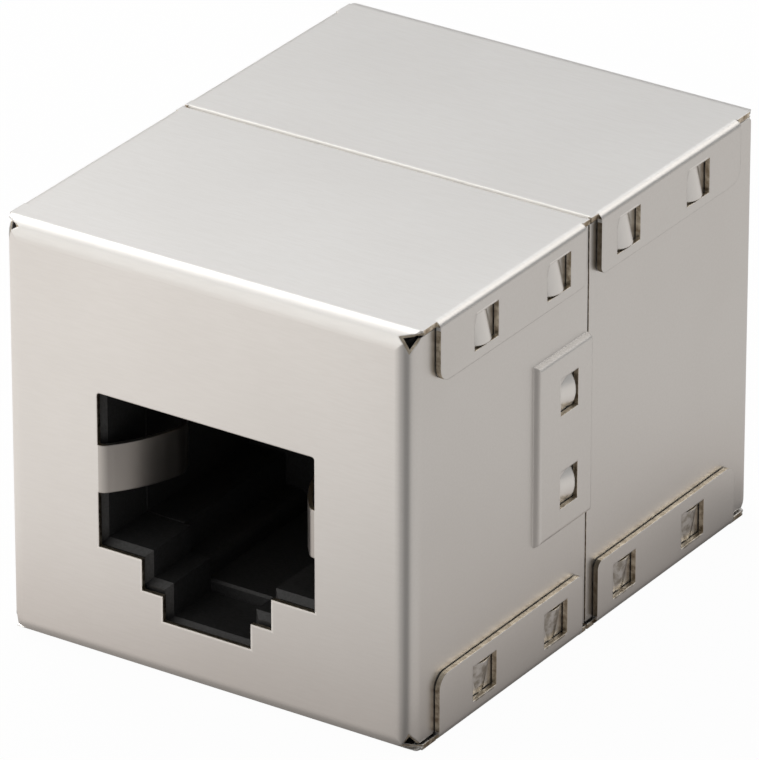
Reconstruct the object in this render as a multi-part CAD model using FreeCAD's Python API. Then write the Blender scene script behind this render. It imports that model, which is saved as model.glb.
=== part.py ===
import FreeCAD, Part
import math
import os

# Shielded in-line coupler: joins two eight-way modular plugs end to end.
# Millimetres. X is across the port, Y runs from the front port to the rear port, Z is up.
# The origin is under the middle of the body, on the plane that the coupler rests on.
# Everything is drawn for the front half. The rear half is the same piece turned half a turn about Z.

# body
body_width = 22.4           # over the side walls, without the tabs
body_height = 21.3
body_length = 29.8          # front face to rear face
sheet = 0.25                # thickness of the plated steel
face_bend = 0.85            # outside radius where a flap leaves the end face
tab_bend = 0.38             # outside radius where a tab folds down over a wall
seam_gap = 0.12             # between the two half shells
plate_gap = 0.12            # between a plate and the wall's edge under it
tab_gap = 0.05              # between a tab and the wall under it
plate_overhang = 0.1        # plate's bare edge beyond the wall
# open corner between the end face, a plate and a wall: the X, Y and Z distances of its three tips
# from the sharp corner, and the share of it inside its rim
corner_tips = ((0.91, 0.24, 0.25), (0.0, 1.0, 0.15), (0.35, 0.25, 1.03))
corner_inner = 0.62
seam_round = 0.12          # rolled edge of the plates at the seam

# tabs, their windows and the catches in them
tab_start = 2.0             # from the end face
tab_length = 12.25
top_tab_reach = 3.1         # from the plate's outer face
bottom_tab_reach = 3.3
tab_front_corner = 0.75
tab_seam_corner = 0.4
window_length = 2.0
window_height = 1.8
window_margin = 0.8         # from the plate's outer face to the window
window_places = (5.8, 11.9)  # middles, from the end face
catch_size = (1.56, 1.9, 0.37)  # width, length and rise
catch_clearance = 0.08      # between a catch's sheared edge and the window

# side lock: a tongue of one half slides into a raised pocket of the other
pocket_middle = 10.9        # height above the base
pocket_height = 9.0
pocket_length = 4.4         # back from the seam
tongue_gap = 0.05           # between the tongue and the pocket's sheet
pocket_slope = 0.15         # run of the pocket's sloping sides
pocket_round = 0.25         # outside radius along the top of those slopes
tongue_height = 7.6
tongue_length = 4.0         # beyond the seam
lock_spacing = 4.8          # between the middles of the two lock windows
lock_window_length = 1.5
lock_window_height = 1.9
lock_place = 2.0            # middle of a lock window, back from the seam
lock_catch_size = (1.82, 1.2, 0.3)
lock_catch_clearance = 0.22
lock_catch_drop = 0.1       # below the middle of its window
tongue_corner = 0.8

# port cut in the end face
port_width = 12.0
port_top = 13.85
port_floor = 5.9
port_corner = 0.15
latch_width = 7.2
latch_floor = 4.3
lever_width = 4.9
lever_floor = 3.0

# earthing fingers, bent back from both sides of the port
finger_low = 8.72
finger_height = 2.43
finger_bend = 0.3           # inside radius at the root
finger_root_angle = 50.2
finger_lean_angle = 70.7
finger_tip_angle = 115.0
finger_sweep = 7.2          # radius of the long curve
finger_curl = 1.0           # radius of the curled end
finger_run = (1.82, 2.4, 0.8)
finger_root = 0.5           # start of the strip within the end face

# moulded jack housing
face_gap = 0.15             # end face to housing
side_gap = 0.15             # walls and plates to housing
housing_wall = 1.2
collar_depth = 3.3          # front of the housing to the carrier
jack_width = 11.8
jack_ceiling = 13.5
jack_floor = 6.15
jack_latch_width = 6.8
jack_latch_floor = 4.75
jack_lever_width = 4.6
jack_lever_floor = 3.05
lead_in = 0.3
housing_length = 12.6
housing_chamfer = 0.55
pad_side = 1.8              # square pads against the end face
pad_place = (2.4, 2.4)      # their middles, in from the housing's sides and from its top and bottom
rib_width = 1.0
rib_spread = 10.0           # between the two ribs on a side
rib_setback = 1.0           # behind the housing's front

# contact carrier
carrier_fit = 0.1           # to the housing's inside
carrier_deck = 15.2         # height that the contacts lie on
carrier_back = 1.0          # wall that stops the plug
plug_depth = 12.2           # end face to the stop
comb_height = 19.0
comb_depth = 1.2
comb_margin = 0.8
carrier_floor = 3.65
carrier_latch_floor = 4.55
carrier_latch_width = 7.6
carrier_lever_width = 5.0
carrier_corner = 0.45
carrier_rim = 0.12          # broken edge around the carrier's front
slot_side_gap = 0.04
slot_roof = 0.8             # left over the slots that the springs sink into
slot_run_out = 0.4          # slot beyond the spring's end

# contacts
contact_count = 8
contact_pitch = 1.02
contact_width = 0.45
contact_thickness = 0.3
upper_row_rise = 1.6
row_step = 0.8              # in front of the comb, where a contact steps up to the upper row
tail_length = 0.5           # beyond the board
spring_loop = 0.85          # radius of the turn at the front
spring_knee = 0.5           # radius where the turn runs into the spring
spring_end_height = 11.5
spring_front = 3.9          # end face to the front of the loop
spring_end = 9.3            # end face to the lowest point
spring_tip = (0.7, 0.35)    # the tip's run and rise

# circuit board
board_thickness = 1.0
board_width = 17.0
board_low = 2.6
board_height = 16.6
board_corner = 0.8
tail_hole = 0.68            # holes and pegs are eight-sided and measured across their flats
peg_width = 1.6
peg_gap = 0.05
peg_places = ((-5.2, 5.2), (5.2, 10.5))
stand_off = 2.6             # side of the square shoulder at a peg's root
overlap = 0.1               # how far a rib or pad sinks into the piece that it belongs to
near = 0.01                 # tolerance when an edge is picked by its place

half_width = body_width / 2
face_y = -body_length / 2
tab_outside = half_width + tab_gap + sheet
plate_flat = tab_outside - tab_bend
shell_inside = half_width - sheet
seam_y = -seam_gap / 2
pocket_rise = sheet + tongue_gap
housing_y = face_y + sheet + face_gap
carrier_y = housing_y + collar_depth
stop_y = face_y + plug_depth
carrier_end_y = stop_y + carrier_back
board_y = -board_thickness / 2
X = FreeCAD.Vector(1, 0, 0)
Y = FreeCAD.Vector(0, 1, 0)
Z = FreeCAD.Vector(0, 0, 1)
ORIGIN = FreeCAD.Vector(0, 0, 0)


def box(low_x, high_x, low_y, high_y, low_z, high_z):
    corner = FreeCAD.Vector(low_x, low_y, low_z)
    return Part.makeBox(high_x - low_x, high_y - low_y, high_z - low_z, corner)


def prism(points, along):
    """A straight-sided solid: a closed outline of vectors, drawn out along a vector."""
    return Part.Face(Part.makePolygon(points + [points[0]])).extrude(along)


def mirrored_x(shape):
    return shape.mirror(ORIGIN, X)


def mirrored_z(shape):
    return shape.mirror(FreeCAD.Vector(0, 0, body_height / 2), Z)


def turned(shape):
    """The rear half's copy of a front piece."""
    copy = shape.copy()
    copy.rotate(ORIGIN, Z, 180)
    return copy


def strip_face(corners, radii, thickness, place):
    """A bent strip seen from the side: its centre line's corners, each bend's radius (0 for a
    plain corner), and a function that places a flat point in space."""
    left, right = [], []
    flat = [FreeCAD.Vector(u, v, 0) for u, v in corners]
    half = thickness / 2

    def side_points(point, direction, reach=half):
        normal = FreeCAD.Vector(-direction.y, direction.x, 0)
        return point + normal * reach, point - normal * reach

    start = (flat[1] - flat[0]).normalize()
    a, b = side_points(flat[0], start)
    left.append(("point", a))
    right.append(("point", b))
    for index, radius in enumerate(radii):
        before = (flat[index + 1] - flat[index]).normalize()
        after = (flat[index + 2] - flat[index + 1]).normalize()
        turn = math.atan2(before.cross(after).z, before.dot(after))
        if radius == 0:
            a, b = side_points(flat[index + 1], (before + after).normalize(), half / math.cos(turn / 2))
            left.append(("point", a))
            right.append(("point", b))
            continue
        setback = radius * math.tan(abs(turn) / 2)
        enter = flat[index + 1] - before * setback
        leave = flat[index + 1] + after * setback
        inward = FreeCAD.Vector(-before.y, before.x, 0) * math.copysign(1, turn)
        centre = enter + inward * radius
        middle = (flat[index + 1] - centre).normalize()
        enters, leaves = side_points(enter, before), side_points(leave, after)
        sides = ((left, enters[0], leaves[0], 1), (right, enters[1], leaves[1], -1))
        for side, entry, exit_point, sign in sides:
            reach = radius - sign * half * math.copysign(1, turn)
            side.append(("point", entry))
            side.append(("arc", centre + middle * reach))
            side.append(("point", exit_point))
    finish = (flat[-1] - flat[-2]).normalize()
    a, b = side_points(flat[-1], finish)
    left.append(("point", a))
    right.append(("point", b))

    loop = left + right[::-1] + left[:1]
    edges = []
    index = 0
    while index < len(loop) - 1:
        here = place(loop[index][1])
        if loop[index + 1][0] == "arc":
            middle, there = place(loop[index + 1][1]), place(loop[index + 2][1])
            edges.append(Part.Arc(here, middle, there).toShape())
            index += 2
        else:
            there = place(loop[index + 1][1])
            if here.distanceToPoint(there) > 1e-6:
                edges.append(Part.LineSegment(here, there).toShape())
            index += 1
    return Part.Face(Part.Wire(edges))


def stepped_outline(width, top, floor, wide, wide_floor, narrow, narrow_floor, grow=0.0):
    """Port outline as (x, z) points: the plug's space with the latch's two steps under it."""
    a, b, c = width / 2 + grow, wide / 2 + grow, narrow / 2 + grow
    right = [(a, top + grow), (a, floor - grow), (b, floor - grow), (b, wide_floor - grow),
             (c, wide_floor - grow), (c, narrow_floor - grow)]
    return right + [(-x, z) for x, z in reversed(right)]


def port_solid(outline, start_y, end_y):
    points = [FreeCAD.Vector(x, start_y, z) for x, z in outline]
    return prism(points, Y * (end_y - start_y))


def flare(wide_outline, outline, start_y, depth):
    """The funnel that breaks the front edge of a port."""
    wires = []
    for y, points in ((start_y, wide_outline), (start_y + depth, outline)):
        points = [FreeCAD.Vector(x, y, z) for x, z in points]
        wires.append(Part.makePolygon(points + [points[0]]))
    return Part.makeLoft(wires, True, True)


def square_post(x, z, side, start_y, end_y):
    return box(x - side / 2, x + side / 2, start_y, end_y, z - side / 2, z + side / 2)


def eight_sided_post(x, z, flats, start_y, end_y):
    post = square_post(x, z, flats, start_y, end_y)
    turned_post = post.copy()
    turned_post.rotate(post.BoundBox.Center, Y, 45)
    return post.common(turned_post)


# half shell

def bent_block(inset, end_y):
    """The body's outline, or the space inside it, with the four bends around the end face."""
    block = box(inset - half_width, half_width - inset, face_y + inset, end_y, inset, body_height - inset)
    bends = [edge for edge in block.Edges if edge.BoundBox.YMax < face_y + inset + near]
    return block.makeFillet(face_bend - inset, bends)


def plate_seam_edges(block):
    return [edge for edge in block.Edges
            if edge.BoundBox.YMin > seam_y - near and edge.BoundBox.XLength > body_width / 2]


def corner_cut():
    """The three-sided open corner between the end face, the top plate and the right wall. Its
    rim is the sheet's bare edge, which lies in one slanting plane."""
    corner = FreeCAD.Vector(half_width + plate_overhang, face_y, body_height)
    tips = [corner + FreeCAD.Vector(-x, y, -z) for x, y, z in corner_tips]
    middle = (tips[0] + tips[1] + tips[2]) * (1 / 3)
    outward = (tips[1] - tips[0]).cross(tips[2] - tips[0]).normalize()
    outward = outward * math.copysign(1, outward.z)

    def outline(scale):
        return [middle + (tip - middle) * scale for tip in tips]

    return prism(outline(1), outward * 2).fuse(prism(outline(corner_inner), outward * -4 * sheet))


def plate_edge_cuts():
    """Frees the top plate from the right wall's upper edge."""
    start = face_y + face_bend
    low = body_height - sheet
    over = plate_overhang
    return [box(shell_inside, half_width + over, start - sheet, 0, low - plate_gap, low),
            box(plate_flat, half_width + over, start, 0, low, body_height + over)]


def bare_plate_edge(start, end):
    return box(plate_flat, half_width + plate_overhang, start, end, body_height - sheet, body_height)


def catch(size, roll, spot):
    """A lanced catch, a tilted arch that is open at its sheared edge, as its solid and its hollow.
    It stands out along X. Its ramp runs up along Z from the spot, or along -Y with a roll of 90."""
    width, length, rise = size
    radius = (width ** 2 / 4 + rise ** 2) / (2 * rise)
    tilt = math.degrees(math.atan2(rise, length))
    parts = []
    for depth in (0.0, sheet):
        crest = rise - depth
        arch = Part.makeCylinder(radius, 2 * length + 2, FreeCAD.Vector(crest - radius, 0, -1), Z)
        arch.rotate(FreeCAD.Vector(crest, 0, 0), Y, -tilt)
        part = arch.common(box(-sheet, 1, -width, width, 0, length))
        part.rotate(ORIGIN, X, roll)
        parts.append(part.translated(spot))
    return parts


def side_tab(reach):
    """The top plate's right tab with its two windows; the bottom one is drawn the same way."""
    middle_x, middle_z = tab_outside - sheet / 2, body_height - sheet / 2
    line = [(plate_flat, middle_z), (middle_x, middle_z), (middle_x, body_height - reach)]
    start, end = face_y + tab_start, face_y + tab_start + tab_length
    face = strip_face(line, [tab_bend - sheet / 2], sheet, lambda p: FreeCAD.Vector(p.x, start, p.y))
    tab = face.extrude(Y * (end - start))
    for radius, y in ((tab_front_corner, start), (tab_seam_corner, end)):
        corner = [edge for edge in tab.Edges
                  if abs(edge.BoundBox.YMin - y) < near and edge.BoundBox.YLength < near
                  and edge.BoundBox.ZMax < body_height - reach + near]
        tab = tab.makeFillet(radius, corner)
    for place in window_places:
        middle = face_y + place
        top = body_height - window_margin
        window = box(half_width, tab_outside + 1, middle - window_length / 2, middle + window_length / 2,
                     top - window_height, top)
        tab = tab.cut(window)
    return tab


def wall_catches():
    """The catches of the right wall under the top plate's tab."""
    low = body_height - window_margin - window_height + catch_clearance
    return [catch(catch_size, 0, FreeCAD.Vector(half_width, face_y + place, low)) for place in window_places]


def tongue_catches():
    """The catches of the rear half's tongue, which lies on the right."""
    sheared = -lock_place + lock_window_length / 2 - lock_catch_clearance
    heights = [pocket_middle + side * lock_spacing / 2 - lock_catch_drop for side in (-1, 1)]
    return [catch(lock_catch_size, 90, FreeCAD.Vector(half_width, sheared, z)) for z in heights]


def raised_block(inset):
    """The pocket's outside, or its inside when inset by the sheet: a low block with sloping sides."""
    foot_x, head_x = half_width - inset, half_width + pocket_rise - inset
    wires = []
    for x, grow in ((foot_x, pocket_slope), (head_x, 0)):
        start = seam_y - pocket_length - grow + inset
        half = pocket_height / 2 + grow - inset
        points = [(start, pocket_middle - half), (0, pocket_middle - half),
                  (0, pocket_middle + half), (start, pocket_middle + half)]
        points = [FreeCAD.Vector(x, y, z) for y, z in points]
        wires.append(Part.makePolygon(points + [points[0]]))
    return Part.makeLoft(wires, True, True)


def half_shell():
    outside = bent_block(0, seam_y)
    outside = outside.makeFillet(seam_round, plate_seam_edges(outside))
    shell = outside.cut(bent_block(sheet, 1))
    cuts = plate_edge_cuts()
    cuts += [mirrored_z(cut) for cut in cuts]
    cuts += [mirrored_x(cut) for cut in cuts]
    shell = shell.cut(cuts)

    # plates' bare edges and tabs
    start, end = face_y + tab_start, face_y + tab_start + tab_length
    edges = [bare_plate_edge(face_y + face_bend, start), bare_plate_edge(end, seam_y)]
    added = edges + [side_tab(top_tab_reach)]
    added += [mirrored_z(piece) for piece in edges + [side_tab(bottom_tab_reach)]]
    added += [mirrored_x(piece) for piece in added]
    shell = shell.fuse(added)

    # open corners
    corners = [corner_cut()]
    corners += [mirrored_z(cut) for cut in corners]
    corners += [mirrored_x(cut) for cut in corners]
    shell = shell.cut(corners)

    # raised pocket on the right, tongue on the left
    pocket = raised_block(0)
    crest = [edge for edge in pocket.Edges
             if edge.BoundBox.XMin > half_width + pocket_rise - near and edge.BoundBox.YMin < -near]
    behind_seam = box(0, body_width, seam_y, 2, 0, body_height)
    shell = shell.fuse(pocket.makeFillet(pocket_round, crest)).cut([raised_block(sheet), behind_seam])
    for side in (-1, 1):
        middle = pocket_middle + side * lock_spacing / 2
        shell = shell.cut(box(half_width - sheet, half_width + 1,
                              -lock_place - lock_window_length / 2, -lock_place + lock_window_length / 2,
                              middle - lock_window_height / 2, middle + lock_window_height / 2))
    tongue = box(-half_width, -shell_inside, seam_y - overlap, tongue_length,
                 pocket_middle - tongue_height / 2, pocket_middle + tongue_height / 2)
    tongue_ends = [edge for edge in tongue.Edges
                   if edge.BoundBox.YMin > tongue_length - near and edge.BoundBox.XLength > sheet / 2]
    shell = shell.fuse(tongue.makeFillet(tongue_corner, tongue_ends))

    # catches
    top = wall_catches()
    pairs = top + [(mirrored_z(a), mirrored_z(b)) for a, b in top]
    pairs += [(mirrored_x(a), mirrored_x(b)) for a, b in pairs]
    pairs += [(turned(a), turned(b)) for a, b in tongue_catches()]
    shell = shell.fuse([solid for solid, hollow in pairs])
    shell = shell.cut([hollow for solid, hollow in pairs])

    # port and fingers
    outline = stepped_outline(port_width, port_top, port_floor, latch_width, latch_floor,
                              lever_width, lever_floor)
    opening = port_solid(outline, face_y - 1, face_y + 2 * sheet)
    corners = [edge for edge in opening.Edges
               if edge.BoundBox.YLength > sheet and edge.BoundBox.ZMin > port_top - near]
    shell = shell.cut(opening.makeFillet(port_corner, corners))
    finger = earthing_finger()
    return shell.fuse([finger, mirrored_x(finger)]).removeSplitter()


def earthing_finger():
    """The left finger: a strip of the end face bent back into the port."""
    radius = finger_bend + sheet / 2
    angles = [math.radians(a) for a in (finger_root_angle, finger_lean_angle, finger_tip_angle)]
    x = -port_width / 2 + radius * math.tan(angles[0] / 2)
    y = face_y + sheet / 2
    line = [(-port_width / 2 - finger_root, y), (x, y)]
    for run, angle in zip(finger_run, angles):
        x += run * math.cos(angle)
        y += run * math.sin(angle)
        line.append((x, y))
    face = strip_face(line, [radius, finger_sweep, finger_curl], sheet,
                      lambda p: FreeCAD.Vector(p.x, p.y, finger_low))
    return face.extrude(Z * finger_height)


# jack housing

def jack_outline(grow=0.0):
    return stepped_outline(jack_width, jack_ceiling, jack_floor, jack_latch_width, jack_latch_floor,
                           jack_lever_width, jack_lever_floor, grow)


def jack_housing():
    """A bucket with the port through its front and a collar behind it."""
    side = shell_inside - side_gap
    low, high = sheet + side_gap, body_height - sheet - side_gap
    end = housing_y + housing_length
    outside = box(-side, side, housing_y, end, low, high)
    front_edges = [edge for edge in outside.Edges if edge.BoundBox.YMax < housing_y + near]
    outside = outside.makeChamfer(housing_chamfer, front_edges)
    inside = box(housing_wall - side, side - housing_wall, housing_y + housing_wall, end + 1,
                 low + housing_wall, high - housing_wall)
    collar = port_solid(jack_outline(housing_wall), housing_y + housing_wall / 2, carrier_y)
    housing = outside.cut(inside).fuse(collar.common(outside))
    housing = housing.cut(port_solid(jack_outline(), housing_y - 1, carrier_y + 1))
    housing = housing.cut(flare(jack_outline(lead_in), jack_outline(), housing_y, lead_in))

    # pads against the end face, ribs against the walls and plates
    pieces = []
    for x in (pad_place[0] - side, side - pad_place[0]):
        for z in (low + pad_place[1], high - pad_place[1]):
            pieces.append(square_post(x, z, pad_side, face_y + sheet, housing_y + overlap))
    rib_start, rib_end = housing_y + rib_setback, carrier_y
    for middle in (-rib_spread / 2, rib_spread / 2):
        start, end = middle - rib_width / 2, middle + rib_width / 2
        right = box(side - overlap, shell_inside, rib_start, rib_end,
                    body_height / 2 + start, body_height / 2 + end)
        top = box(start, end, rib_start, rib_end, high - overlap, body_height - sheet)
        pieces += [right, mirrored_x(right), top, mirrored_z(top)]
    return housing.fuse(pieces).removeSplitter()


# contact carrier

def contact_x(number):
    return (number - (contact_count + 1) / 2) * contact_pitch


def row_height(number):
    """Height of a contact's tail: every second one is in the upper row."""
    lower = carrier_deck + contact_thickness / 2
    return lower + upper_row_rise if number % 2 == 0 else lower


def carrier_outline(grow=0.0):
    return stepped_outline(jack_width, jack_ceiling, jack_floor, carrier_latch_width, carrier_latch_floor,
                           carrier_lever_width, carrier_floor, grow)


def carrier_profile():
    """The plug's space in the carrier, with the latch channel's upper corners rounded."""
    solid = port_solid(carrier_outline(), carrier_y - 1, stop_y)
    corner_z = carrier_latch_floor
    rounded = [edge for edge in solid.Edges
               if edge.BoundBox.YLength > 1 and abs(edge.BoundBox.ZMax - corner_z) < near
               and abs(edge.BoundBox.ZMin - corner_z) < near
               and abs(abs(edge.BoundBox.XMax) - carrier_lever_width / 2) < near]
    return solid.makeFillet(carrier_corner, rounded)


def contact_carrier():
    side = shell_inside - side_gap - housing_wall - carrier_fit
    low = sheet + side_gap + housing_wall + carrier_fit
    carrier = box(-side, side, carrier_y, carrier_end_y, low, carrier_deck)
    comb_side = (contact_count / 2) * contact_pitch + comb_margin
    comb_start = carrier_end_y - comb_depth
    comb = box(-comb_side, comb_side, comb_start, carrier_end_y, carrier_deck - overlap, comb_height)
    carrier = carrier.fuse(comb)
    rim = flare(carrier_outline(carrier_rim), carrier_outline(), carrier_y, carrier_rim)
    carrier = carrier.cut([carrier_profile(), rim])

    # coring on both sides of the plug's space, from the back
    core = box(jack_width / 2 + housing_wall, side - housing_wall,
               carrier_y + housing_wall, carrier_end_y + 1,
               low + housing_wall, carrier_deck - housing_wall)
    carrier = carrier.cut([core, mirrored_x(core)])

    # slots for the contacts
    cuts = []
    slot_half = contact_width / 2 + slot_side_gap
    loop_back = face_y + spring_front + 2 * spring_loop
    slot_end = face_y + spring_end + spring_tip[0] + slot_run_out
    for number in range(1, contact_count + 1):
        x = contact_x(number)
        foot = row_height(number) - contact_thickness / 2
        left, right = x - slot_half, x + slot_half
        cuts.append(box(left, right, comb_start - 1, carrier_end_y + 1, foot, comb_height + 1))
        cuts.append(box(left, right, carrier_y - 1, loop_back, jack_ceiling - 1, carrier_deck + 1))
        cuts.append(box(left, right, carrier_y, slot_end, jack_ceiling - overlap, carrier_deck - slot_roof))
    carrier = carrier.cut(cuts)

    # pegs into the board and stand-offs against it
    pieces = []
    for x, z in peg_places:
        pieces.append(square_post(x, z, stand_off, carrier_end_y - overlap, board_y))
        pieces.append(eight_sided_post(x, z, peg_width, board_y - overlap, board_y + board_thickness))
    return carrier.fuse(pieces).removeSplitter()


def contact(number):
    """One spring contact: tail, run along the deck, turn at the front, spring down into the port."""
    middle = carrier_deck + contact_thickness / 2
    row = row_height(number)
    loop_y = face_y + spring_front + contact_thickness / 2
    line = [(board_y + board_thickness + tail_length, row)]
    radii = []
    if row > middle:
        rise_y = carrier_end_y - comb_depth - row_step
        line += [(rise_y, row), (rise_y, middle)]
        radii += [0, 0]
    spring_y, spring_z = face_y + spring_end, spring_end_height + contact_thickness / 2
    shoulder_z = middle - 2 * spring_loop
    line += [(loop_y, middle), (loop_y, shoulder_z), (spring_y, spring_z),
             (spring_y + spring_tip[0], spring_z + spring_tip[1])]
    radii += [spring_loop, spring_knee, 0]
    x = contact_x(number) - contact_width / 2
    face = strip_face(line, radii, contact_thickness, lambda p: FreeCAD.Vector(x, p.x, p.y))
    return face.extrude(X * contact_width)


# circuit board

def circuit_board():
    board = box(-board_width / 2, board_width / 2, board_y, board_y + board_thickness,
                board_low, board_low + board_height)
    corners = [edge for edge in board.Edges if abs(edge.BoundBox.YLength - board_thickness) < near
               and edge.BoundBox.XLength < near and edge.BoundBox.ZLength < near]
    board = board.makeFillet(board_corner, corners)
    start_y, end_y = board_y - 1, board_y + board_thickness + 1
    holes = []
    for sign in (-1, 1):
        for number in range(1, contact_count + 1):
            x, z = sign * contact_x(number), row_height(number)
            holes.append(eight_sided_post(x, z, tail_hole, start_y, end_y))
        for x, z in peg_places:
            holes.append(eight_sided_post(sign * x, z, peg_width + 2 * peg_gap, start_y, end_y))
    return board.cut(holes)


def save(name, shape):
    solids = shape.Solids
    print(name, "solids", len(solids), "valid", shape.isValid(), "volume", round(shape.Volume, 2))
    piece = solids[0] if len(solids) == 1 else shape
    piece.exportStep("parts/" + name + ".step")


def main():
    os.makedirs("parts", exist_ok=True)
    front = {"shell": half_shell(), "jack_housing": jack_housing(), "contact_carrier": contact_carrier()}
    for number in range(1, contact_count + 1):
        front["contact_" + str(number)] = contact(number)
    for name, shape in front.items():
        save("front_" + name, shape)
        save("rear_" + name, turned(shape))
    save("circuit_board", circuit_board())


main()
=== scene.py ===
import bpy
import math
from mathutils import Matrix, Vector


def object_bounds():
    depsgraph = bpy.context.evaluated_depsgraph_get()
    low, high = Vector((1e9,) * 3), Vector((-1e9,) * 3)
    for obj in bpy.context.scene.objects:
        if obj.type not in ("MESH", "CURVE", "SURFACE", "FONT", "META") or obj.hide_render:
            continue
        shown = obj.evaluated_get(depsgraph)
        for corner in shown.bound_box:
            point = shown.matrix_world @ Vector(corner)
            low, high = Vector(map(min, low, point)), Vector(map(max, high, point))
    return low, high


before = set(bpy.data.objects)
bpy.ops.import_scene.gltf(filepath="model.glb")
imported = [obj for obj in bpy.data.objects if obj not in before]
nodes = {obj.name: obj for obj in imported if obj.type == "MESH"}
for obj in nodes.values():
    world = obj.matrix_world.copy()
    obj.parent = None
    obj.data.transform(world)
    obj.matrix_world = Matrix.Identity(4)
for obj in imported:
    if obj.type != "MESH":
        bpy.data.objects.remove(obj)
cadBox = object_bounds()
scene = bpy.context.scene
mm = 0.001


# a socket that can be used in sums; colours go through Graph.mix instead
class Value:
    def __init__(self, graph, socket):
        self.graph = graph
        self.socket = socket

    def maths(self, operation, *others):
        return self.graph.node("ShaderNodeMath", {"operation": operation}, [self, *others])

    def __add__(self, other):
        return self.maths("ADD", other)

    def __mul__(self, other):
        return self.maths("MULTIPLY", other)

    def __sub__(self, other):
        return self.maths("SUBTRACT", other)

    def __rsub__(self, other):
        return self.graph.node("ShaderNodeMath", {"operation": "SUBTRACT"}, [other, self])

    def __truediv__(self, other):
        return self.maths("DIVIDE", other)

    def __gt__(self, other):
        return self.maths("GREATER_THAN", other)

    def __lt__(self, other):
        return self.maths("LESS_THAN", other)

    __radd__ = __add__
    __rmul__ = __mul__

    def size(self):
        return self.maths("ABSOLUTE")

    def atLeast(self, other):
        return self.maths("MAXIMUM", other)

    def atMost(self, other):
        return self.maths("MINIMUM", other)

    # 0 below low, 1 above high, with a soft step between
    def step(self, low, high):
        return self.graph.node("ShaderNodeMapRange", {"interpolation_type": "SMOOTHSTEP"},
                               {"Value": self, "From Min": low, "From Max": high})


class Graph:
    def __init__(self, tree):
        self.tree = tree
        tree.nodes.clear()

    def outputs(self, node):
        return {output.name: Value(self, output) for output in node.outputs}

    # any node: its type, its settings, then its sockets' values or links by name or in order
    def make(self, kind, settings=None, sockets=None):
        node = self.tree.nodes.new(kind)
        for name, setting in (settings or {}).items():
            setattr(node, name, setting)
        pairs = sockets.items() if isinstance(sockets, dict) else enumerate(sockets or [])
        for name, value in pairs:
            socket = node.inputs[name]
            if isinstance(value, Value):
                self.tree.links.new(value.socket, socket)
            else:
                socket.default_value = value
        return node

    def node(self, kind, settings=None, sockets=None, output=0):
        return Value(self, self.make(kind, settings, sockets).outputs[output])

    def mix(self, factor, first, second):
        node = self.make("ShaderNodeMix", {"data_type": "RGBA"})
        for index, value in ((0, factor), (6, first), (7, second)):
            if isinstance(value, Value):
                self.tree.links.new(value.socket, node.inputs[index])
            else:
                node.inputs[index].default_value = value
        return Value(self, node.outputs[2])

    def place(self):
        return self.node("ShaderNodeTexCoord", output="Object")

    # noise over the object's own millimetres, stretched by the three scales
    def noise(self, scales, detail=2.0, roughness=0.5):
        stretched = self.node("ShaderNodeMapping", None,
                              {"Vector": self.place(), "Scale": [scale / mm for scale in scales]})
        return self.node("ShaderNodeTexNoise", None,
                         {"Vector": stretched, "Scale": 1.0, "Detail": detail, "Roughness": roughness})

    def xyz(self, vector):
        node = self.make("ShaderNodeSeparateXYZ", None, [vector])
        return [Value(self, output) for output in node.outputs]


def newMaterial(name):
    material = bpy.data.materials.new(name)
    material.use_nodes = True
    return material, Graph(material.node_tree)


def finishMaterial(graph, surface):
    graph.make("ShaderNodeOutputMaterial", None, {"Surface": surface})


def dress(material, *names):
    for name in names:
        piece = nodes[name]
        piece.data.materials.clear()
        piece.data.materials.append(material)


def grey(level):
    return (level, level, level, 1)


# plated steel of the two half shells
steel = {
    "colour": (0.78, 0.77, 0.755, 1),
    "darkColour": (0.71, 0.695, 0.675, 1),
    "roughness": 0.35,
    "bentRoughness": 0.5,                  # halfway round the bends of the plates into the end face
    # share of painted highlight along the bends
    "bentHighlight": 0.8,
    "grainAlong": 0.9,                     # waves per mm along the grain
    "grainAcross": 8.0,
    "grainDetail": (4, 0.6),
    "grainDepth": 0.002,
    "grainStrength": 0.2,
    "grainShows": (0.25, 0.2),             # on the walls, and added on the plates
    "grainRoughness": 0.1,
    "cloudScale": 0.11,
    "cloudShows": 0.35,
    "edgeSoftness": 0.09,
    "fingerShadeColour": (0.5, 0.48, 0.46, 1),    # painted shade on the bent fingers in the port
    "fingers": (5.98, 9.5, 8.6, 11.3),     # half width, then least distance from the seam, then heights
    "seamHighlightColour": (0.95, 0.93, 0.9, 1),  # painted highlight on the plates' rounded edges at the seam
    "rolledRoughness": 0.6,
    "rolledReach": 0.3,
    "rolledFrom": 0.995,                   # the normal's upward share where the rounding starts
    "highlightColour": (0.93, 0.92, 0.9, 1),  # painted highlight on the upper and side catches, also used on the bends
    "lowerCatchShadeColour": (0.36, 0.33, 0.28, 1),  # painted shade on the lower catches
}
noiseBand = (0.3, 0.7)                     # the middle part of a noise, spread over 0 to 1
catches = {
    "outside": 11.22,                      # all in mm
    "places": (9.1, 3.0),                  # from the seam
    "half": 0.8,
    "lockHalf": 0.9,
    "upper": (18.75, 20.6),
    "lower": (0.7, 2.6),
    "lock": (2.0, 10.9, 2.4),              # from the seam, then the middle height and half the spacing
}
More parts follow.
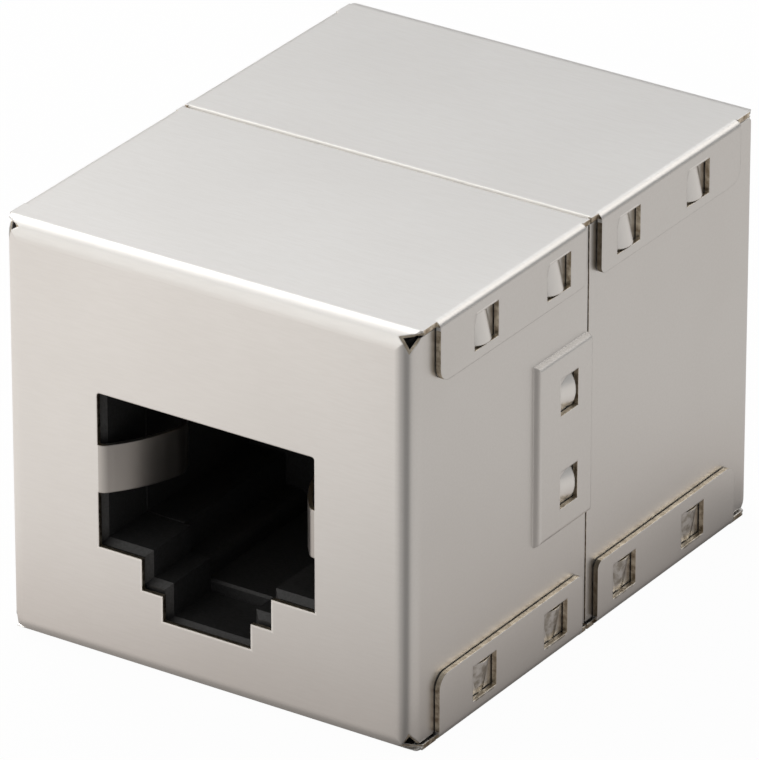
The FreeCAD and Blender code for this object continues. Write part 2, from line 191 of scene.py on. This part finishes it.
bareEdge = {
    "colour": (0.80, 0.72, 0.59, 1),
    "darkColour": (0.34, 0.27, 0.19, 1),
    "roughness": 0.38,
    "sheet": 0.25,
    "wallOutside": 11.0,                   # a cut edge lies beyond this and doesn't face sideways
    "sideways": 0.3,
    "slight": 0.3,                         # the normal's share along an axis that a face turns from
    "bendEnd": 14.0,
    "plateInside": 0.45,
    "height": 21.3,
    "face": 14.9,
    "port": (6.1, 2.9, 13.95),             # half width, floor and top of the port's cut edge
    # painted shade on cut edges that face the seam, close to it
    "seamShadeColour": (0.12, 0.095, 0.065, 1),
    "seamReach": 3.0,
    "seamwards": -0.2,                     # an edge that looks back at the seam
    "seamDark": 0.75,
    # share of the pale colour on cut edges that face upwards: painted light
    "upwardsLit": 0.4,
    "tornScale": 3.0,
    "tornDetail": 3,
    "slantedAcross": (0.4, 0.75),          # the corner openings' flat rims, by their normal
    "slantedAhead": 0.5,
    "slantedReach": 0.6,
    "near": 0.01,
}
# painted highlight line round the port's latch steps: where it lies, its colour and roughness
portRimHighlight = {
    "steps": ((6.0, 5.9), (3.6, 4.3), (2.45, 3.0)),   # the port's half widths and floors
    "highest": 5.98,
    "width": (0.04, 0.14),
    "face": 14.88,
    "colour": (1.0, 0.985, 0.96, 1),
    "roughness": 0.8,
}
pocketEdge = {
    "heights": (6.2, 15.6),
    "reach": 4.7,                          # back from the seam
    "outside": 11.205,
    "facing": (0.6, 0.97),                 # the normal's sideways share, on the slope and on the flat
    # painted shade that tones down the slopes' highlight
    "colour": (0.74, 0.72, 0.70, 1),
    "roughness": 0.55,
}


# 1 on the sheared edges of the sheet, 0 on its plated faces
def shearedEdges(x, y, z, nx, ny, nz):
    half = bareEdge["height"] / 2
    up = (z - half).size()
    outside = x.size() > bareEdge["wallOutside"]
    beside = outside * (nx < bareEdge["sideways"]) * (y.size() < bareEdge["bendEnd"])
    beside = beside * (up < half - bareEdge["plateInside"])
    slight, near = bareEdge["slight"], bareEdge["near"]
    onPlate = (up > half - bareEdge["sheet"] - 2 * near) * (nz < slight) * (y.size() < bareEdge["bendEnd"])
    onPlate = onPlate * outside.atLeast(ny < bareEdge["slantedAhead"])
    halfWidth, low, top = bareEdge["port"]
    inPort = (x.size() < halfWidth) * (z > low) * (z < top) * (ny < slight)
    inPort = inPort * (y.size() > bareEdge["face"] - bareEdge["sheet"] - near)
    least, most = bareEdge["slantedAcross"]
    slanted = (nx > least) * (nx < most) * (ny > bareEdge["slantedAhead"]) * (nz > slight)
    slanted = slanted * (y.size() > bareEdge["bendEnd"] - bareEdge["slantedReach"])
    return beside.atLeast(onPlate).atLeast(inPort).atLeast(slanted)


# where the painted shade on the bent fingers in the port goes
def onFinger(x, y, z):
    halfWidth, start, low, high = steel["fingers"]
    return (x.size() < halfWidth) * (y.size() > start) * (z > low) * (z < high)


# a painted highlight line where the punch rolled the end face over, round the latch's steps
def rimHighlight(x, y, z):
    plug, latch, lever = [(x.size() - halfWidth).atLeast(low - z)
                          for halfWidth, low in portRimHighlight["steps"]]
    away = plug.atMost(latch).atMost(lever)
    onFace = (y.size() > portRimHighlight["face"]) * (z < portRimHighlight["highest"])
    return (1 - away.step(*portRimHighlight["width"])) * onFace


# the drawn slopes round the raised pocket: painted shade, a darker colour that tones down their highlight,
# and a rougher finish
def pocketSlope(x, y, z, nx):
    low, high = pocketEdge["heights"]
    onPocket = (x.size() > pocketEdge["outside"]) * (y.size() < pocketEdge["reach"])
    return onPocket * (z > low) * (z < high) * (1 - nx.step(*pocketEdge["facing"]))


# where the painted highlight on the plates' rounded edges at the seam goes
def rolledSeam(y, z, nz):
    onTop = z > bareEdge["height"] - bareEdge["sheet"]
    return onTop * (y.size() < steel["rolledReach"]) * (nz < steel["rolledFrom"])


# the lanced catches: a painted highlight on those in the upper windows and the lock, and mottled painted
# shade on the lower ones near the floor
def catchHighlightAndShade(x, y, z):
    outside = x.size() > catches["outside"]
    near, far = [(y.size() - window).size() for window in catches["places"]]
    inWindow = outside * (near.atMost(far) < catches["half"])
    upper, lower = [(z > low) * (z < high) for low, high in (catches["upper"], catches["lower"])]
    place, middle, spread = catches["lock"]
    inLock = (y.size() - place).size() < catches["half"]
    inLock = inLock * (((z - middle).size() - spread).size() < catches["lockHalf"])
    return (inWindow * upper).atLeast(inLock * outside), inWindow * lower


def platedSteel():
    material, graph = newMaterial("platedSteel")
    x, y, z = [axis / mm for axis in graph.xyz(graph.place())]
    normal = graph.xyz(graph.node("ShaderNodeTexCoord", output="Normal"))
    nx, ny, nz = [axis.size() for axis in normal]
    edge = shearedEdges(x, y, z, nx, ny, nz)
    grainScales = (steel["grainAlong"], steel["grainAcross"], steel["grainAcross"])
    grain = graph.noise(grainScales, *steel["grainDetail"])
    cloud = graph.noise([steel["cloudScale"]] * 3)
    colour = graph.mix(cloud.step(*noiseBand) * steel["cloudShows"], steel["colour"], steel["darkColour"])
    onWalls, onPlates = steel["grainShows"]
    colour = graph.mix(grain.step(*noiseBand) * (onWalls + nz * onPlates), colour, steel["darkColour"])
    # painted shade: the bent fingers in the port are darker
    colour = graph.mix(onFinger(x, y, z), colour, steel["fingerShadeColour"])
    torn = graph.noise([bareEdge["tornScale"]] * 3, bareEdge["tornDetail"]).step(*noiseBand)
    slope = pocketSlope(x, y, z, nx)
    # painted shade on the pocket's slopes
    colour = graph.mix(slope, colour, pocketEdge["colour"])
    catchHighlight, lowerCatchShade = catchHighlightAndShade(x, y, z)
    # painted highlight on the upper and lock catches
    colour = graph.mix(catchHighlight, colour, steel["highlightColour"])
    # painted shade, mottled, on the lower catches whose ramps face the floor
    colour = graph.mix(lowerCatchShade * torn, colour, steel["lowerCatchShadeColour"])
    # painted highlight on the plates' rounded edges at the seam
    rolled = rolledSeam(y, z, nz)
    colour = graph.mix(rolled, colour, steel["seamHighlightColour"])
    bend = ny * nz * 2                     # 1 halfway round a plate's bend into the end face
    # painted highlight halfway round the bends
    colour = graph.mix(bend * steel["bentHighlight"], colour, steel["highlightColour"])
    # painted highlight line round the port's latch steps
    rim = rimHighlight(x, y, z)
    colour = graph.mix(rim, colour, portRimHighlight["colour"])
    ahead, up = normal[1:]
    bare = graph.mix(torn, bareEdge["colour"], bareEdge["darkColour"])
    # painted light: cut edges that face upwards are paler
    bare = graph.mix((up > bareEdge["slight"]) * bareEdge["upwardsLit"], bare, bareEdge["colour"])
    # painted shade on cut edges that look back at the seam, close to it
    atSeam = (ahead * y < bareEdge["seamwards"]) * (y.size() < bareEdge["seamReach"])
    bare = graph.mix(atSeam * bareEdge["seamDark"], bare, bareEdge["seamShadeColour"])
    colour = graph.mix(edge, colour, bare)
    roughness = steel["roughness"] + (grain - 0.5) * steel["grainRoughness"]
    for mask, other in ((edge, bareEdge["roughness"]), (rolled, steel["rolledRoughness"]),
                        (rim, portRimHighlight["roughness"]), (bend, steel["bentRoughness"]),
                        (slope, pocketEdge["roughness"])):
        roughness = roughness + mask * (other - steel["roughness"])
    soft = graph.node("ShaderNodeBevel", {"samples": 4}, {"Radius": steel["edgeSoftness"] * mm})
    bump = graph.node("ShaderNodeBump", None, {
        "Strength": steel["grainStrength"], "Distance": steel["grainDepth"] * mm,
        "Height": grain, "Normal": soft})
    surface = graph.node("ShaderNodeBsdfPrincipled", None, {
        "Base Color": colour, "Metallic": 1.0, "Roughness": roughness, "Normal": bump})
    finishMaterial(graph, surface)
    return material


dress(platedSteel(), "front_shell", "rear_shell")


# black moulded plastic of the housings and carriers
plastic = {
    "colour": (0.038, 0.038, 0.039, 1),
    "darkLevel": 0.022,
    "roughness": 0.42,
    "roughnessSpread": 0.08,
    "speckleScale": 9,
    "speckleDepth": 0.01,
    "speckleStrength": 0.5,
}


def blackPlastic():
    material, graph = newMaterial("blackPlastic")
    speckle = graph.noise([plastic["speckleScale"]] * 3)
    bump = graph.node("ShaderNodeBump", None, {
        "Strength": plastic["speckleStrength"], "Distance": plastic["speckleDepth"] * mm, "Height": speckle})
    colour = graph.mix(speckle.step(*noiseBand), plastic["colour"], grey(plastic["darkLevel"]))
    roughness = plastic["roughness"] + speckle * plastic["roughnessSpread"]
    surface = graph.node("ShaderNodeBsdfPrincipled", None, {
        "Base Color": colour, "Roughness": roughness, "Normal": bump})
    finishMaterial(graph, surface)
    return material


sides = ("front", "rear")
black = blackPlastic()
for side in sides:
    dress(black, side + "_jack_housing", side + "_contact_carrier")


# the plated spring contacts and the board's lacquer: two tones, and a finish that follows them
gold = {
    "name": "goldPlate",
    "colour": (0.85, 0.62, 0.25, 1),
    "otherColour": (0.74, 0.55, 0.26, 1),
    "toneScale": 3,
    "toneDetail": 3,
    "metallic": 1.0,
    "roughness": 0.22,
    "roughnessSpread": 0.12,
}
lacquer = {
    "name": "solderMask",
    "colour": (0.02, 0.11, 0.05, 1),
    "otherColour": (0.03, 0.15, 0.07, 1),
    "toneScale": 5,
    "toneDetail": 2,
    "metallic": 0.0,
    "roughness": 0.3,
    "roughnessSpread": 0.1,
}


def twoToned(finish):
    material, graph = newMaterial(finish["name"])
    tone = graph.noise([finish["toneScale"]] * 3, finish["toneDetail"])
    colour = graph.mix(tone, finish["colour"], finish["otherColour"])
    roughness = finish["roughness"] + tone * finish["roughnessSpread"]
    surface = graph.node("ShaderNodeBsdfPrincipled", None, {
        "Base Color": colour, "Metallic": finish["metallic"], "Roughness": roughness})
    finishMaterial(graph, surface)
    return material


contactPlating = twoToned(gold)
for side in sides:
    dress(contactPlating, *[side + "_contact_" + str(number) for number in range(1, 9)])
dress(twoToned(lacquer), "circuit_board")
print("materials are on")


# a sheet of paper under the object, and what the metal sees of it: a painted reflection, with painted shade
# in a wedge and in bands round the object and a warmer tint near it
floor = {
    "whiteSeen": 0.97,       # the rest is paper, which keeps the object's shadow
    "whiteReflected": 0.9,
    "shadeFrom": (-26, 12),  # across, in mm: what the metal shows falls off to the right
    "shadeLeft": 0.6,
    "darkCorner": (10.5, -14.8),   # in mm: a dark wedge runs out from here, ahead and to the right
    "darkWay": 0.68,         # radians from straight ahead
    "darkFrom": (0.17, 0.8),
    "darkLeft": 0.28,
    "behindFrom": (10, 25),  # in mm: darker again behind the object's left side
    "behindUpTo": (-5, 12),
    "behindLeft": 0.4,
    "nearFrom": (0, 14),     # in mm from the object's foot
    "nearLeft": 0.8,
    "footFrom": (0, 0.8),    # in mm: dark where the object meets the floor
    "footLeft": 0.4,
    "besideFrom": (8, 14),   # in mm: darker again close to the right side
    "besideWithin": (1, 5),
    "besideDepth": 0.3,
    "rearFrom": (6, 16),     # and a little darker still beside the rear
    "rearDepth": 0.15,
    "warm": (1.0, 0.95, 0.905, 1),
    "nearWarm": (1.0, 0.912, 0.85, 1),
    "paper": (0.92, 0.95),
    "fibreScale": 0.02,
    "shade": 0.02,
    "roughness": 0.9,
    "reach": 3.0,
    "drop": 0.02,            # in mm: just below the object's foot
}


# rises from the share that is left to 1 as a distance passes between two values
def share(distance, between, left):
    passed = distance.step(*between)
    return passed + (1 - passed) * left


def floorMaterial():
    material, graph = newMaterial("paleFloor")
    x, y, z = [axis / mm for axis in graph.xyz(graph.place())]
    halfWidth, halfLength = [side / mm for side in cadBox[1][:2]]
    beside = (x.size() - halfWidth).atLeast(0)
    beyond = (y.size() - halfLength).atLeast(0)
    away = (beside * beside + beyond * beyond).maths("SQRT")
    # painted shade that the metal reflects: the floor's level for all rays but the camera's
    right, ahead = x - floor["darkCorner"][0], floor["darkCorner"][1] - y
    fromDark = (right.maths("ARCTAN2", ahead) - floor["darkWay"]).size()
    deeper = x.step(*floor["besideFrom"]) * floor["besideDepth"]
    deeper = deeper + y.step(*floor["rearFrom"]) * floor["rearDepth"]
    close = deeper * (1 - away.step(*floor["besideWithin"]))
    level = share(away, floor["nearFrom"], floor["nearLeft"] - close)
    level = level * share(fromDark, floor["darkFrom"], floor["darkLeft"])
    level = level * share(away, floor["footFrom"], floor["footLeft"])
    level = level * (1 - x.step(*floor["shadeFrom"]) * (1 - floor["shadeLeft"]))
    behind = y.step(*floor["behindFrom"]) * (1 - x.step(*floor["behindUpTo"]))
    level = level * (1 - behind * (1 - floor["behindLeft"]))
    ray = graph.outputs(graph.make("ShaderNodeLightPath"))
    seen = ray["Is Camera Ray"].atLeast(ray["Is Transmission Ray"])
    white = (seen * floor["whiteSeen"]).atLeast(ray["Is Glossy Ray"] * floor["whiteReflected"])
    fibre = graph.noise([floor["fibreScale"]] * 3)
    dull, bright = floor["paper"]
    paper, shade = [
        graph.node("ShaderNodeBsdfPrincipled", None, {"Base Color": colour, "Roughness": floor["roughness"]})
        for colour in (graph.mix(fibre, grey(dull), grey(bright)), grey(floor["shade"]))]
    # painted warm reflection near the object
    warm = graph.mix(away.step(*floor["nearFrom"]), floor["nearWarm"], floor["warm"])
    light = graph.mix(ray["Is Glossy Ray"], grey(1.0), warm)
    glow = graph.node("ShaderNodeEmission", None, {"Color": light, "Strength": 1.0})
    glow = graph.node("ShaderNodeMixShader", None, [level.atLeast(seen), shade, glow])
    surface = graph.node("ShaderNodeMixShader", None, [white, paper, glow])
    finishMaterial(graph, surface)
    return material


def makeFloor():
    reach, height = floor["reach"], -floor["drop"] * mm
    mesh = bpy.data.meshes.new("floor")
    corners = [(x * reach, y * reach, height) for x, y in ((-1, -1), (1, -1), (1, 1), (-1, 1))]
    mesh.from_pydata(corners, [], [(0, 1, 2, 3)])
    mesh.materials.append(floorMaterial())
    sheetOfPaper = bpy.data.objects.new("floor", mesh)
    scene.collection.objects.link(sheetOfPaper)


# the world lights the object a little, and is white where the camera sees it
room = {"light": 0.3, "seen": 1.0}


def makeWorld():
    world = bpy.data.worlds.new("studio")
    scene.world = world
    world.use_nodes = True
    graph = Graph(world.node_tree)
    ray = graph.outputs(graph.make("ShaderNodeLightPath"))
    light, seen = [graph.node("ShaderNodeBackground", None, {"Color": grey(1.0), "Strength": room[use]})
                   for use in ("light", "seen")]
    surface = graph.node("ShaderNodeMixShader", None, [ray["Is Camera Ray"], light, seen])
    graph.make("ShaderNodeOutputWorld", None, {"Surface": surface})


# soft boxes: place and the point aimed at, in metres, then size, power in watts and colour
lamps = {
    "keyBox": ((-0.45, 0.14, 0.31), (0, 0, 0.01), (0.45, 0.50), 1.85, (1, 0.975, 0.945)),
    "backBox": ((-0.30, 0.45, 0.49), (0, 0, 0.02), (0.60, 0.30), 0.64, (1, 1, 1)),
    "rightBox": ((0.20, 0.42, 0.40), (0, 0, 0.02), (0.45, 0.36), 0.62, (1, 0.96, 0.91)),
    "frontBox": ((-0.30, -0.45, 0.30), (0, 0, 0.01), (0.50, 0.60), 0.85, (1, 0.965, 0.92)),
}


def makeLamp(name, place, aim, size, power, colour):
    lamp = bpy.data.lights.new(name, "AREA")
    lamp.color = colour
    lamp.shape = "RECTANGLE"
    lamp.size, lamp.size_y = size
    lamp.energy = power
    lampObject = bpy.data.objects.new(name, lamp)
    lampObject.location = place
    lampObject.rotation_euler = (Vector(aim) - Vector(place)).to_track_quat("-Z", "Y").to_euler()
    scene.collection.objects.link(lampObject)


makeFloor()
makeWorld()
for name, lamp in lamps.items():
    makeLamp(name, *lamp)


view = {
    "azimuth": 33.399,
    "elevation": 26.393,
    "place": (0.2076, -0.3153, 0.1973),    # in metres
    "sensor": 36,
    "clip": (0.01, 20),
    "lens": 425.3,
}


def makeCamera():
    camera = bpy.data.cameras.new("camera")
    camera.lens = view["lens"]
    camera.sensor_width = view["sensor"]
    camera.clip_start, camera.clip_end = view["clip"]
    cameraObject = bpy.data.objects.new("camera", camera)
    cameraObject.location = view["place"]
    cameraObject.rotation_euler = (math.radians(90 - view["elevation"]), 0, math.radians(view["azimuth"]))
    scene.collection.objects.link(cameraObject)
    scene.camera = cameraObject


makeCamera()
scene.view_settings.view_transform = "Standard"
print("floor, lamps and camera are in place")
